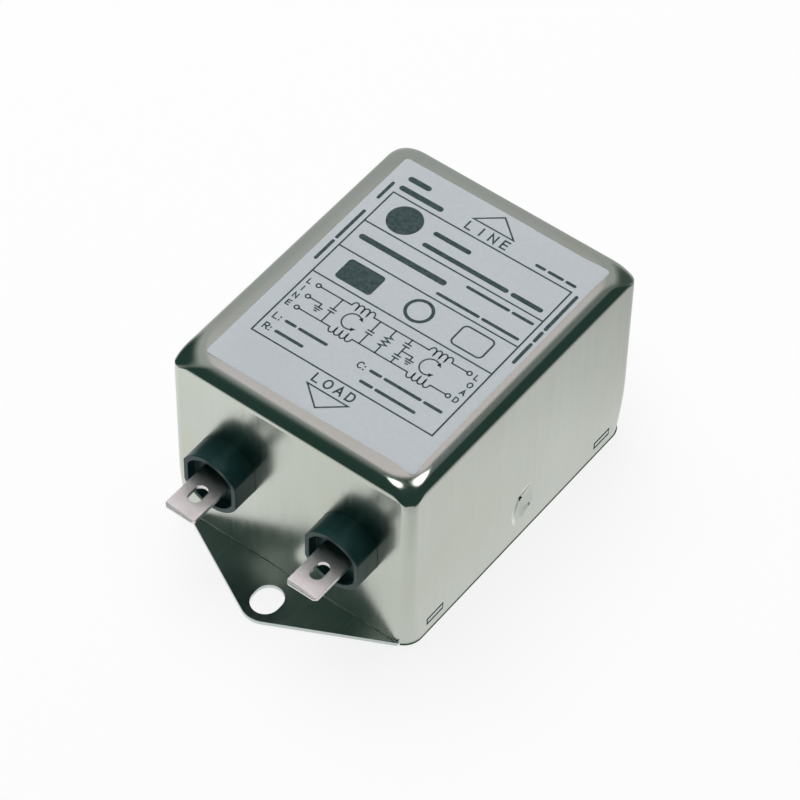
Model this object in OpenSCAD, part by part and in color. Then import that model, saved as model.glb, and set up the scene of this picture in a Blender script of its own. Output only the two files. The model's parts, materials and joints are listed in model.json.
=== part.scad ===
// Two-stage power-line filter in a drawn steel can.
// Millimetres. +Z is up, the length runs along Y, the LOAD end faces -Y.
// Origin: centre of the footprint, on the mounting face.

/* [Can] */
// Length of the can along Y
can_length = 62.5; // [60:0.5:66]
// Width of the can along X
can_width = 49.8; // [49:0.1:54]
// Height of the can over the mounting face
can_height = 41; // [41:0.5:45]
// Sheet thickness of the can
can_sheet = 0.6; // [0.5:0.05:0.8]
// Radius of the four upright corners
corner_radius = 3; // [2.9:0.1:5]
// Radius round the top face
edge_radius = 2.7; // [1.5:0.1:2.8]

/* [Staked dimples] */
// Position of a dimple along the long wall
dimple_along = 0.6; // [-4:0.1:4]
// Height of the dimple centre
dimple_height = 8; // [7.6:0.1:12]
// Half diagonal of a dimple, upright
dimple_reach = 3.9; // [3:0.1:4]
// Half diagonal of a dimple, along the wall
dimple_spread = 2.8; // [2.4:0.1:3.2]
// Depth of a dimple
dimple_depth = 1.1; // [0.8:0.1:1.4]
// Radius of the torn points in a dimple
tear_radius = 0.4; // [0.2:0.05:0.5]
// Height of the torn points over and under the dimple centre
tear_offset = 2.1; // [1.6:0.1:2.2]

/* [Base plate] */
// Sheet thickness of the base plate
plate_sheet = 0.8; // [0.7:0.05:1.2]
// Distance between the two mounting slots
slot_pitch = 75; // [73:0.5:79]
// Width of a mounting slot
slot_width = 5.3; // [4.3:0.1:5.5]
// Length of a mounting slot
slot_length = 6.3; // [5.6:0.1:7]
// Radius of the ear tip
ear_tip_radius = 4.7; // [4.2:0.1:5.5]
// Half width of an ear where it leaves the can
ear_half_width = 22.6; // [20:0.1:22.8]
// Side play of the ear in the can wall
ear_play = 0.2; // [0.1:0.05:0.4]
// Play of the plate inside the can walls
plate_play = 0.05; // [0.02:0.01:0.1]

/* [Snap latches] */
// Distance of a latch from the middle of the long wall
latch_along = 23.8; // [20:0.1:24.5]
// Length of the slot in the wall
latch_slot_length = 4.6; // [4.4:0.1:6.5]
// Lower edge of the slot in the wall
latch_slot_low = 2.1; // [1.8:0.1:2.6]
// Height of the slot in the wall
latch_slot_height = 1.8; // [1.5:0.1:2.2]
// Length of the latch lip
latch_lip_length = 4; // [3.6:0.1:4.2]
// Gap under the latch lip
latch_lip_gap = 0.6; // [0.3:0.05:0.8]
// Step from the lip back to the outer wall face
latch_lip_step = 0.05; // [0:0.01:0.2]

/* [Label] */
// Label width along X
label_width = 42.4; // [38:0.1:42.6]
// Label length along Y
label_length = 54.6; // [50:0.1:55]
// Label film thickness
label_film = 0.1; // [0.08:0.01:0.2]
// Label corner radius
label_corner = 1.8; // [0.5:0.1:3]
// Side shift of the label
label_shift = 0.65; // [-0.7:0.05:0.7]
// Skew of the label in degrees
label_skew = 0.5; // [0:0.1:0.8]

/* [Bushings] */
// Distance of a bushing's centre from the side of the can
bushing_from_side = 12.15; // [11.8:0.05:13]
// Height of the bushing centre
bushing_height = 20.75; // [20:0.05:21]
// Radius of the bushing outline
bushing_radius = 6.05; // [5.8:0.05:6.4]
// Half width over the side flats
bushing_flat = 5.5; // [5.2:0.05:5.6]
// Reach of the bushing out of the can
bushing_reach = 5.15; // [4:0.05:7]
// Wall at the round top and bottom
bushing_rim = 1; // [0.8:0.05:1.2]
// Wall at the side flats
bushing_side_wall = 0.9; // [0.7:0.05:1.1]
// Depth of the front recess
recess_depth = 2; // [1:0.1:3]
// Radius of the round well behind the recess
well_radius = 2.8; // [2:0.1:3]
// Depth of the round well behind the recess
well_depth = 2.2; // [0.5:0.1:2.5]
// Flange width round the outline inside the can
flange_width = 1.2; // [0.8:0.1:1.6]
// Flange thickness
flange_thickness = 1.5; // [1:0.1:2]
// Width of the neck behind the flange
neck_width = 8.4; // [7.5:0.1:10]
// Height of the neck behind the flange
neck_height = 3.2; // [2.4:0.1:5]
// Depth of the neck behind the flange
neck_depth = 1.95; // [1:0.05:2.5]
// Play of the bushing in its hole
bushing_play = 0.05; // [0.02:0.01:0.1]

/* [Tabs] */
// Tab width
tab_width = 6.3; // [6.2:0.05:6.4]
// Tab thickness
tab_sheet = 0.8; // [0.75:0.01:0.85]
// Reach of the tab out of the can
tab_reach = 13.15; // [12:0.05:15]
// Reach of the tab tail behind the neck
tail_reach = 2.7; // [2:0.1:3]
// Corner cut at the tab tip
tip_corner = 0.55; // [0.3:0.05:1]
// Length of the bevel at the tip
tip_bevel_length = 0.6; // [0.3:0.05:1]
// Depth of the bevel on each face at the tip
tip_bevel_depth = 0.2; // [0.1:0.05:0.3]
// Width of the oblong hole
eye_width = 2.4; // [1.6:0.1:3]
// Length of the oblong hole
eye_length = 3.9; // [3:0.1:4.5]
// Distance of the hole centre from the tip
eye_from_tip = 5.1; // [4:0.1:6]
// Play of the earth tab in its slot
earth_play = 0.05; // [0.02:0.01:0.1]
// Height of the earth tab foot inside the can
earth_foot_height = 6; // [4:0.1:8]

/* [Chokes] */
// Gap between the two cased cores
choke_gap = 4.4; // [4:0.1:5]
// Drop from the wires to the top of a winding
wire_drop = 3.15; // [2.6:0.05:3.6]
// Outer radius of the cased core
core_outer = 10; // [9:0.1:10.2]
// Inner radius of the cased core
core_inner = 5.5; // [5:0.1:6]
// Height of the cased core
core_height = 8; // [6:0.1:8.5]
// Build-up of the winding on the core
winding_build = 1.6; // [1:0.1:1.8]
// Angle covered by one winding
winding_angle = 130; // [100:1:140]
// Thickness of the divider in the core
divider_thickness = 1.2; // [0.8:0.1:1.6]
// Height of the divider
divider_height = 11; // [8:0.1:11.2]

/* [Capacitors and resistor] */
// Width of an X capacitor along X
xcap_width = 18; // [17:0.1:19]
// Thickness of an X capacitor along Y
xcap_thickness = 10; // [8:0.1:10.5]
// Gap from the X capacitors to the roof of the can
xcap_roof_gap = 1.9; // [1:0.1:6]
// Gap between the wires and the X capacitors
xcap_wire_gap = 1.25; // [0.8:0.05:2]
// Half lead pitch of an X capacitor
xcap_half_pitch = 7.5; // [7.2:0.05:7.8]
// Lead radius of an X capacitor
xcap_lead_radius = 0.4; // [0.3:0.05:0.45]
// Gap between the two X capacitors
xcap_gap = 1.7; // [1.2:0.1:2]
// Disc radius of a Y capacitor
ycap_radius = 4.5; // [3.5:0.1:4.8]
// Disc thickness of a Y capacitor
ycap_thickness = 3.4; // [2.5:0.1:3.5]
// Gap between the wires and the discs
ycap_wire_gap = 3.25; // [2.5:0.05:4]
// Gap between the discs and the resistor
ycap_gap = 0.85; // [0.5:0.05:1]
// Half lead pitch of a Y capacitor
ycap_half_pitch = 2.5; // [2.4:0.05:2.6]
// Lead radius of the Y capacitors and the resistor
thin_lead_radius = 0.3; // [0.25:0.01:0.35]
// Body radius of the bleed resistor
resistor_radius = 1.25; // [0.9:0.05:1.3]
// Body length of the bleed resistor
resistor_length = 6.5; // [5:0.1:7]
// Gap between the wires and the bleed resistor
resistor_wire_gap = 1.5; // [1:0.05:2]
// Gap between the bleed resistor and the middle X capacitor
resistor_gap = 0.55; // [0.4:0.05:0.8]

/* [Wiring and filling] */
// Radius of the copper leads
wire_radius = 0.5; // [0.45:0.01:0.55]
// Bend radius of the copper leads
wire_bend = 1.5; // [1.2:0.1:1.6]
// Bend radius of the thin leads
thin_bend = 0.9; // [0.7:0.1:1]
// Where the end leads enter the windings, along X
entry_across = 6; // [5.6:0.1:6.2]
// Where the end leads enter the windings, from the choke centre
entry_along = 5; // [4.6:0.1:5.2]
// Where the link wires enter the windings, from the choke centre
link_along = 3.2; // [3:0.1:4]
// Air space between the latches and the potting resin
resin_air = 1.5; // [1:0.1:2]

/* [Hidden] */
$fn = 48;
fine = 24;
quarter = 90;
half_turn = 180;
left = -1;
right = 1;
load = -1;
line = 1;
beyond = 1;
half_length = can_length / 2;
half_width = can_width / 2;
wall_inner_x = half_width - can_sheet;
wall_inner_y = half_length - can_sheet;
slot_centre = slot_pitch / 2;
ear_root = half_length - corner_radius;
latch_lip_low = latch_slot_low + latch_lip_gap;
latch_top = latch_lip_low + plate_sheet;
bushing_across = half_width - bushing_from_side;
dimple_tip = 0.15;
bushing_back = wall_inner_y - flange_thickness - neck_depth;
tail_end = bushing_back - tail_reach;
earth_foot_face = wall_inner_y - tab_sheet;
winding_outer = core_outer + winding_build;
winding_inner = core_inner - winding_build;
winding_height = core_height + 2 * winding_build;
wire_level = bushing_height;
winding_top = wire_level - wire_drop;
choke_height = winding_top - winding_height / 2;
choke_along = core_outer + choke_gap / 2;
link_end = choke_along - link_along;
xcap_low = wire_level + wire_radius + xcap_wire_gap;
xcap_height = can_height - can_sheet - xcap_roof_gap - xcap_low;
line_xcap_along = choke_along + entry_along;
middle_xcap_along = line_xcap_along - xcap_thickness - xcap_gap;
resistor_height = wire_level + wire_radius + resistor_wire_gap + resistor_radius;
resistor_along = middle_xcap_along - xcap_thickness / 2 - resistor_gap - resistor_radius;
ycap_height = wire_level + wire_radius + ycap_wire_gap + ycap_radius;
ycap_along = resistor_along - resistor_radius - ycap_gap - ycap_thickness / 2;
ycap_across = xcap_half_pitch - ycap_half_pitch;
earth_wire_end = ycap_along - 2 * wire_radius;
resin_low = latch_top + resin_air;

// Rounded rectangle, centred
module rounded_plan(w, l, r) {
    square([w - 2 * r, l], center = true);
    square([w, l - 2 * r], center = true);
    for (x = [-1, 1], y = [-1, 1])
        translate([x * (w / 2 - r), y * (l / 2 - r)]) circle(r);
}

// Upright wall section with a rounded shoulder at the top, centred on the height axis
module shoulder_section(w, h, r) {
    translate([-w / 2, 0]) square([w, h - r]);
    translate([-w / 2 + r, 0]) square([w - 2 * r, h]);
    for (x = [-1, 1]) translate([x * (w / 2 - r), h - r]) circle(r);
}

// One upright corner of the drawn form, turned about its own axis
module corner_column(h, r_corner, r_edge) {
    rotate_extrude(angle = quarter) intersection() {
        shoulder_section(2 * r_corner, h, r_edge);
        square([r_corner, h]);
    }
}

// Drawn form: straight walls, rounded upright corners, rounded top edges
module drawn_form(w, l, h, r_corner, r_edge) {
    translate([0, l / 2 - r_corner, 0]) rotate([quarter, 0, 0])
        linear_extrude(l - 2 * r_corner) shoulder_section(w, h, r_edge);
    translate([-w / 2 + r_corner, 0, 0]) rotate([quarter, 0, quarter])
        linear_extrude(w - 2 * r_corner) shoulder_section(l, h, r_edge);
    for (turn = [0, 1]) rotate([0, 0, turn * half_turn]) {
        translate([w / 2 - r_corner, l / 2 - r_corner, 0]) corner_column(h, r_corner, r_edge);
        translate([-w / 2 + r_corner, l / 2 - r_corner, 0]) rotate([0, 0, quarter])
            corner_column(h, r_corner, r_edge);
    }
}

// Inside of the can, grown downwards past the open bottom by drop
module can_inside(drop) {
    translate([0, 0, -drop]) drawn_form(can_width - 2 * can_sheet, can_length - 2 * can_sheet,
        can_height - can_sheet + drop, corner_radius - can_sheet, edge_radius - can_sheet);
}

// Round outline with two upright side flats, in the XZ plane, from y0 to y1
module flatted_round(radius, flat, y0, y1) {
    translate([0, y1, 0]) rotate([quarter, 0, 0]) linear_extrude(y1 - y0) intersection() {
        circle(radius);
        square([2 * flat, 2 * radius + beyond], center = true);
    }
}

// Four-sided stake mark pointing along -X, wide face at x = 0, tapered to a small flat
module stake() {
    rim = [[0, 0, dimple_reach], [0, dimple_spread, 0], [0, 0, -dimple_reach], [0, -dimple_spread, 0]];
    tip = [for (p = rim) [-dimple_depth, p[1] * dimple_tip, p[2] * dimple_tip]];
    n = len(rim);
    flanks = [for (i = [0:n - 1]) [i, i + n, (i + 1) % n + n, (i + 1) % n]];
    wide_face = [for (i = [0:n - 1]) i];
    tip_face = [for (i = [n - 1:-1:0]) i + n];
    polyhedron(concat(rim, tip), concat([wide_face, tip_face], flanks));
}

// Places a child on the outer face of a long wall at the dimple
module at_dimple(side) {
    translate([side * half_width, dimple_along, dimple_height]) rotate([0, 0, side > 0 ? 0 : half_turn])
        children();
}

module dimple_bump(side) {
    at_dimple(side) translate([-can_sheet, 0, 0]) stake();
}

module dimple_cut(side) {
    at_dimple(side) stake();
    for (end = [-1, 1]) at_dimple(side) translate([-dimple_depth - can_sheet, end * tear_offset / 2,
        -end * tear_offset]) rotate([0, quarter, 0])
        cylinder(h = dimple_depth + can_sheet, r = tear_radius, $fn = fine);
}

module can() {
    color("silver") difference() {
        union() {
            difference() {
                drawn_form(can_width, can_length, can_height, corner_radius, edge_radius);
                can_inside(beyond);
            }
            for (side = [left, right]) dimple_bump(side);
        }
        for (side = [left, right]) {
            dimple_cut(side);
            for (end = [-1, 1]) translate([side * (half_width - can_sheet / 2), end * latch_along,
                latch_slot_low + latch_slot_height / 2])
                cube([can_sheet + beyond, latch_slot_length, latch_slot_height], center = true);
            for (end = [load, line]) translate([side * bushing_across, end * half_length, bushing_height])
                flatted_round(bushing_radius + bushing_play, bushing_flat + bushing_play, -beyond, beyond);
        }
        for (end = [load, line]) translate([0, end * half_length, plate_sheet / 2])
            cube([2 * (ear_half_width + ear_play), 2 * corner_radius - beyond, plate_sheet], center = true);
        translate([0, half_length, bushing_height])
            cube([tab_width + 2 * earth_play, 2 * beyond, tab_sheet + 2 * earth_play], center = true);
    }
}

// Ear outline: straight flanks running from the can's wall to the rounded tip
module ear_outline() {
    rise = slot_centre - half_length;
    reach = sqrt(ear_half_width * ear_half_width + rise * rise);
    lean = atan(rise / ear_half_width) + asin(ear_tip_radius / reach);
    touch_x = ear_tip_radius * sin(lean);
    touch_y = slot_centre + ear_tip_radius * cos(lean);
    polygon([[-ear_half_width, ear_root], [ear_half_width, ear_root], [ear_half_width, half_length],
        [touch_x, touch_y], [-touch_x, touch_y], [-ear_half_width, half_length]]);
    translate([0, slot_centre]) circle(ear_tip_radius);
}

module mounting_slot() {
    straight = slot_length - slot_width;
    square([slot_width, straight], center = true);
    for (end = [-1, 1]) translate([0, end * straight / 2]) circle(slot_width / 2);
}

// Upright leg with a lip bent outwards into the wall slot
module latch(side, end) {
    translate([0, end * latch_along - latch_lip_length / 2, 0]) {
        translate([side > 0 ? wall_inner_x - plate_sheet : -wall_inner_x, 0, 0])
            cube([plate_sheet, latch_lip_length, latch_top]);
        translate([side > 0 ? wall_inner_x - plate_sheet : -half_width + latch_lip_step, 0, latch_lip_low])
            cube([plate_sheet + can_sheet - latch_lip_step, latch_lip_length, plate_sheet]);
    }
}

module base_plate() {
    color("lightgray") union() {
        linear_extrude(plate_sheet) difference() {
            union() {
                rounded_plan(can_width - 2 * can_sheet - 2 * plate_play,
                    can_length - 2 * can_sheet - 2 * plate_play, corner_radius - can_sheet);
                for (end = [0, 1]) rotate(end * half_turn) ear_outline();
            }
            for (end = [load, line]) translate([0, end * slot_centre]) mounting_slot();
        }
        for (side = [left, right], end = [load, line]) latch(side, end);
    }
}

module rating_label() {
    color("lightsteelblue") translate([label_shift, 0, can_height]) rotate([0, 0, label_skew])
        linear_extrude(label_film) rounded_plan(label_width, label_length, label_corner);
}

// Turns a child made for the LINE end to the LOAD end
module to_end(end) {
    mirror([0, end > 0 ? 0 : 1, 0]) children();
}

// Tab blank for the LINE end at x = 0, from y0 to the tip
module tab_blank(y0) {
    tip = half_length + tab_reach;
    difference() {
        intersection() {
            translate([0, 0, -tab_sheet / 2]) linear_extrude(tab_sheet)
                polygon([[-tab_width / 2, y0], [tab_width / 2, y0], [tab_width / 2, tip - tip_corner],
                    [tab_width / 2 - tip_corner, tip], [-tab_width / 2 + tip_corner, tip],
                    [-tab_width / 2, tip - tip_corner]]);
            translate([-tab_width / 2, 0, 0]) rotate([quarter, 0, quarter]) linear_extrude(tab_width)
                polygon([[y0, -tab_sheet / 2], [tip - tip_bevel_length, -tab_sheet / 2],
                    [tip, -tab_sheet / 2 + tip_bevel_depth], [tip, tab_sheet / 2 - tip_bevel_depth],
                    [tip - tip_bevel_length, tab_sheet / 2], [y0, tab_sheet / 2]]);
        }
        translate([0, tip - eye_from_tip, -tab_sheet]) linear_extrude(2 * tab_sheet) {
            straight = eye_length - eye_width;
            square([eye_width, straight], center = true);
            for (end = [-1, 1]) translate([0, end * straight / 2]) circle(eye_width / 2, $fn = fine);
        }
    }
}

module tab(side, end) {
    color("gainsboro") to_end(end) translate([side * bushing_across, 0, bushing_height])
        tab_blank(tail_end);
}

module bushing_solid(side, end) {
    to_end(end) translate([side * bushing_across, 0, bushing_height]) {
        flatted_round(bushing_radius, bushing_flat, wall_inner_y - flange_thickness,
            half_length + bushing_reach);
        flatted_round(bushing_radius + flange_width, bushing_flat + flange_width,
            wall_inner_y - flange_thickness, wall_inner_y);
        translate([-neck_width / 2, bushing_back, -neck_height / 2])
            cube([neck_width, neck_depth + flange_thickness / 2, neck_height]);
    }
}

module bushing(side, end) {
    color("darkslategray") difference() {
        bushing_solid(side, end);
        to_end(end) translate([side * bushing_across, 0, bushing_height]) {
            face = half_length + bushing_reach;
            flatted_round(bushing_radius - bushing_rim, bushing_flat - bushing_side_wall,
                face - recess_depth, face + beyond);
            translate([0, face, 0]) rotate([quarter, 0, 0])
                cylinder(h = recess_depth + well_depth, r = well_radius);
            translate([-tab_width / 2, bushing_back - beyond, -tab_sheet / 2])
                cube([tab_width, can_length, tab_sheet]);
        }
    }
}

// Earth tab: passes through a slot in the LINE wall, foot turned down behind it
module earth_tab() {
    color("gainsboro") union() {
        translate([0, 0, bushing_height]) tab_blank(earth_foot_face);
        translate([-tab_width / 2, earth_foot_face, bushing_height + tab_sheet / 2 - earth_foot_height])
            cube([tab_width, tab_sheet, earth_foot_height]);
    }
}

module choke_core(end) {
    color("dimgray") translate([0, end * choke_along, choke_height - core_height / 2])
        linear_extrude(core_height) difference() {
            circle(core_outer);
            circle(core_inner);
        }
}

// Sector that one winding fills, core included
module winding_sector(side, end) {
    translate([0, end * choke_along, choke_height])
        rotate([0, 0, (side > 0 ? 0 : half_turn) - winding_angle / 2])
        rotate_extrude(angle = winding_angle)
        translate([winding_inner, -winding_height / 2])
        square([winding_outer - winding_inner, winding_height]);
}

module winding(side, end) {
    color("peru") difference() {
        winding_sector(side, end);
        choke_core(end);
    }
}

module choke_divider(end) {
    color("ivory") translate([0, end * choke_along, choke_height - divider_height / 2])
        linear_extrude(divider_height) intersection() {
            circle(core_inner);
            square([divider_thickness, 2 * core_inner + beyond], center = true);
        }
}

// Round wire from a to b along one axis
module wire_run(a, b, radius) {
    d = b - a;
    length = norm(d);
    turn = abs(d[0]) > 0 ? [0, quarter, 0] : abs(d[1]) > 0 ? [-quarter, 0, 0] : [0, 0, 0];
    low = [min(a[0], b[0]), min(a[1], b[1]), min(a[2], b[2])];
    translate(low) rotate(turn) cylinder(h = length, r = radius, $fn = fine);
}

// Quarter bend at corner p from direction d1 to direction d2
module wire_elbow(p, d1, d2, bend, radius) {
    n = cross(d1, d2);
    c = p + bend * (d2 - d1);
    multmatrix([[-d2[0], d1[0], n[0], c[0]], [-d2[1], d1[1], n[1], c[1]],
        [-d2[2], d1[2], n[2], c[2]], [0, 0, 0, 1]])
        rotate_extrude(angle = quarter) translate([bend, 0]) circle(radius, $fn = fine);
}

// Wire through a list of corner points, every leg along one axis
module wire_path(points, bend, radius) {
    last = len(points) - 1;
    dir = [for (i = [0:last - 1]) (points[i + 1] - points[i]) / norm(points[i + 1] - points[i])];
    union() {
        for (i = [0:last - 1]) wire_run(points[i] + (i > 0 ? bend : 0) * dir[i],
            points[i + 1] - (i < last - 1 ? bend : 0) * dir[i], radius);
        for (i = [1:last - 1]) wire_elbow(points[i], dir[i - 1], dir[i], bend, radius);
    }
}

// Lead from a tab tail to its winding
module end_lead(side, end) {
    color("chocolate") wire_path([[side * bushing_across, end * tail_end, wire_level],
        [side * bushing_across, end * line_xcap_along, wire_level],
        [side * entry_across, end * line_xcap_along, wire_level],
        [side * entry_across, end * line_xcap_along, winding_top]], wire_bend, wire_radius);
}

// Link from the LINE choke to the LOAD choke
module link_wire(side) {
    color("chocolate") wire_path([[side * xcap_half_pitch, link_end, winding_top],
        [side * xcap_half_pitch, link_end, wire_level], [side * xcap_half_pitch, -link_end, wire_level],
        [side * xcap_half_pitch, -link_end, winding_top]], wire_bend, wire_radius);
}

module earth_wire() {
    color("chocolate") wire_run([0, earth_foot_face, wire_level], [0, earth_wire_end, wire_level],
        wire_radius);
}

module x_capacitor_solid(along) {
    translate([-xcap_width / 2, along - xcap_thickness / 2, xcap_low])
        cube([xcap_width, xcap_thickness, xcap_height]);
    for (side = [left, right]) wire_run([side * xcap_half_pitch, along, wire_level],
        [side * xcap_half_pitch, along, xcap_low + beyond], xcap_lead_radius);
}

module line_x_capacitor() {
    color("gold") difference() {
        x_capacitor_solid(line_xcap_along);
        for (side = [left, right]) end_lead(side, line);
    }
}

module middle_x_capacitor() {
    color("gold") difference() {
        x_capacitor_solid(middle_xcap_along);
        for (side = [left, right]) link_wire(side);
    }
}

module y_capacitor_solid(side) {
    translate([side * ycap_across, ycap_along + ycap_thickness / 2, ycap_height]) rotate([quarter, 0, 0])
        cylinder(h = ycap_thickness, r = ycap_radius);
    wire_run([side * xcap_half_pitch, ycap_along, wire_level],
        [side * xcap_half_pitch, ycap_along, ycap_height - ycap_half_pitch], thin_lead_radius);
    wire_path([[side * (ycap_across - ycap_half_pitch), ycap_along, ycap_height - ycap_half_pitch],
        [side * (ycap_across - ycap_half_pitch), ycap_along, wire_level], [0, ycap_along, wire_level]],
        thin_bend, thin_lead_radius);
}

module y_capacitor(side) {
    color("royalblue") difference() {
        y_capacitor_solid(side);
        link_wire(side);
        earth_wire();
    }
}

module bleed_resistor_solid() {
    translate([-resistor_length / 2, resistor_along, resistor_height]) rotate([0, quarter, 0])
        cylinder(h = resistor_length, r = resistor_radius);
    for (side = [left, right]) wire_path([[side * resistor_length / 4, resistor_along, resistor_height],
        [side * xcap_half_pitch, resistor_along, resistor_height],
        [side * xcap_half_pitch, resistor_along, wire_level]], thin_bend, thin_lead_radius);
}

module bleed_resistor() {
    color("tan") difference() {
        bleed_resistor_solid();
        for (side = [left, right]) link_wire(side);
    }
}

// Resin round every part inside the can, from the top down to resin_low
module potting() {
    color("black") difference() {
        can_inside(0);
        translate([0, 0, resin_low / 2 - beyond]) cube([can_width, can_length, resin_low + 2 * beyond],
            center = true);
        for (side = [left, right]) {
            dimple_bump(side);
            link_wire(side);
            y_capacitor_solid(side);
            for (end = [load, line]) {
                bushing_solid(side, end);
                tab(side, end);
                winding_sector(side, end);
                end_lead(side, end);
            }
        }
        for (end = [load, line]) {
            choke_core(end);
            choke_divider(end);
        }
        earth_tab();
        earth_wire();
        x_capacitor_solid(line_xcap_along);
        x_capacitor_solid(middle_xcap_along);
        bleed_resistor_solid();
    }
}

can();
base_plate();
rating_label();
bushing(left, load);  // load_bushing_left
bushing(right, load);  // load_bushing_right
bushing(left, line);  // line_bushing_left
bushing(right, line);  // line_bushing_right
tab(left, load);  // load_tab_left
tab(right, load);  // load_tab_right
tab(left, line);  // line_tab_left
tab(right, line);  // line_tab_right
earth_tab();
choke_core(line);  // line_choke_core
choke_core(load);  // load_choke_core
winding(left, line);  // line_winding_left
winding(right, line);  // line_winding_right
winding(left, load);  // load_winding_left
winding(right, load);  // load_winding_right
choke_divider(line);  // line_choke_divider
choke_divider(load);  // load_choke_divider
line_x_capacitor();
middle_x_capacitor();
y_capacitor(left);  // y_capacitor_left
y_capacitor(right);  // y_capacitor_right
bleed_resistor();
end_lead(left, line);  // line_lead_left
end_lead(right, line);  // line_lead_right
link_wire(left);  // link_wire_left
link_wire(right);  // link_wire_right
end_lead(left, load);  // load_lead_left
end_lead(right, load);  // load_lead_right
earth_wire();
potting();
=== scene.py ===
import json
import math
from functools import partial

import bmesh
import bpy
from mathutils import Matrix, Vector


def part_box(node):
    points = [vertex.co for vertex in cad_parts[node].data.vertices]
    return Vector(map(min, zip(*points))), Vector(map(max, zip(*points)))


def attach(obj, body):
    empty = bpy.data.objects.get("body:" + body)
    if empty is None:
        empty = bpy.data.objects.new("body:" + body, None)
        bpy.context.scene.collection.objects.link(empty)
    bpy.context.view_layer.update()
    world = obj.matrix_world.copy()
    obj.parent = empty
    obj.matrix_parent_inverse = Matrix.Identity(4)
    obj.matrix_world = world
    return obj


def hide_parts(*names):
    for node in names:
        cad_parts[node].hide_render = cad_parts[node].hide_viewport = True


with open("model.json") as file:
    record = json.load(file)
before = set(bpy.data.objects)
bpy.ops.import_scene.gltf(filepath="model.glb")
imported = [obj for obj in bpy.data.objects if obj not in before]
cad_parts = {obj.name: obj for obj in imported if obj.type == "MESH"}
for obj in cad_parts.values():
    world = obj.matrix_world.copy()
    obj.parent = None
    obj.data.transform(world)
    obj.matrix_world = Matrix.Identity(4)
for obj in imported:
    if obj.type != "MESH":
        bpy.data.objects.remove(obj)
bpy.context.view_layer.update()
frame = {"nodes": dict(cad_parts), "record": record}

MM = 0.001
WHITE = (1.0, 1.0, 1.0, 1.0)

# ---------------- sizes taken from the frame
can_low, can_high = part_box("can")
label_low, label_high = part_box("rating_label")
tab_low, tab_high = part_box("load_tab_right")
CAN_TOP = can_high.z
CAN_HALF_X = can_high.x
CAN_HALF_Y = can_high.y
BUSHING_ACROSS = (tab_low.x + tab_high.x) / 2
BUSHING_LEVEL = (tab_low.z + tab_high.z) / 2
LABEL_SHIFT = (label_low.x + label_high.x) / 2

# ---------------- sizes of the drawn can
CAN_WALL = 0.6 * MM
# Upright corners: radius at the rim, half way up, under the roof's round and on the roof.
CORNER_RIM = 3.7 * MM
CORNER_WALL = 2.1 * MM
CORNER_SHOULDER = 2.3 * MM
CORNER_ROOF = 6.3 * MM
CORNER_OPENING = 0.92
SMALLEST_CORNER = 0.5 * MM
CORNER_STEPS = 10
# The rim is pulled in by its flare, then the wall swells to its full width.
RIM_BAND = 0.40 * MM
RIM_FLARE = 0.14 * MM
RIM_STEPS = ((0.0, 0.0), (0.10 * MM, 0.1), (0.24 * MM, 1.0), (RIM_BAND, 1.0))
SWELL_SPAN = 3.2
SWELL_CURVE = 1.5
NECK = 2.0 * MM
# The roof: its round, and a slight crown that falls away near the edge.
ROOF_ROUND = 2.75 * MM
SHOULDER = CAN_TOP - ROOF_ROUND
CROWN_SLOPE = math.tan(math.radians(2.4))
CROWN_REACH = 5.0 * MM
CROWN_FALL = CROWN_SLOPE * CROWN_REACH / 3
ROOF_INSETS = (0.5, 1.0, 1.6, 2.3, 3.1, 4.0, 5.0)
# Holes, slots and stakes.
HOLE_RADIUS = 6.1 * MM
HOLE_FLAT = 5.55 * MM
LATCH_ALONG = 23.8 * MM
LATCH_LEVEL = 3.0 * MM
LATCH_SLOT = (4.6 * MM, 1.8 * MM)
EARTH_SLOT = (6.4 * MM, 0.9 * MM)
EAR_NOTCH = (22.8 * MM, 0.8 * MM)
NOTCH_DEPTH = 2.5 * MM
DIMPLE_ALONG = 0.6 * MM
DIMPLE_LEVEL = 8.0 * MM
# A stake: its outline on the wall, its lowest spot, and its size at each depth, in mm.
STAKE_TIP = Vector((0.45, 0.2))
STAKE_OUTLINE = ((1.4, 3.9), (-1.6, 3.4), (-2.6, 1.3), (-2.9, -1.0),
                 (-1.8, -2.5), (-0.2, -3.1), (2.7, -1.0), (2.1, 2.6))
STAKE_FLANK = ((1.16, -0.5), (1.09, 0.0), (1.03, 0.05), (0.95, 0.16),
               (0.58, 0.62), (0.24, 0.98), (0.12, 1.03))
STAKE_TEARS = (((-0.15, 1.75), (0.20, -0.35), (0.95, 0.30)),
               ((1.85, -1.35), (1.50, -2.10), (2.00, -1.85)))
STAKE_PLACES = ((0.0, DIMPLE_ALONG, DIMPLE_LEVEL, 0.0), (0.0, DIMPLE_ALONG, DIMPLE_LEVEL, math.pi))
# The painted highlight beside a stake, a paler arc standing in for light caught by its flank, in mm: its
# middle from the stake's, along and up, then where its inner edge, its outer edge and its end start and
# stop fading.
STAKE_HIGHLIGHT_SHIFT = (0.9, -0.6)
STAKE_HIGHLIGHT_INNER, STAKE_HIGHLIGHT_OUTER, STAKE_HIGHLIGHT_END = (3.25, 3.55), (3.95, 4.25), (1.0, 2.4)
STAKE_HIGHLIGHT_AIM = (-0.86, 0.51)
STAKE_HIGHLIGHT_COLOUR = (0.82, 0.86, 0.81)
# The burr's outline over an ear, in mm from the wall's face and from the notch's top.
BURR = ((-0.24, 0.0), (-0.06, 0.0), (-0.01, 0.07), (-0.06, 0.15), (-0.24, 0.26))
RESIN_PLAY = 0.03 * MM
# How wide the softened edges of the other metal and moulded pieces are.
PLATE_EDGE, BUSHING_EDGE, TAB_EDGE = 0.08 * MM, 0.12 * MM, 0.06 * MM

# ---------------- sizes of the label and its ink
LABEL_SKEW = math.radians(0.5)
LABEL_WIDTH = 42.4 * MM
LABEL_LENGTH = 54.6 * MM
LABEL_CORNER = 0.8 * MM
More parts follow.
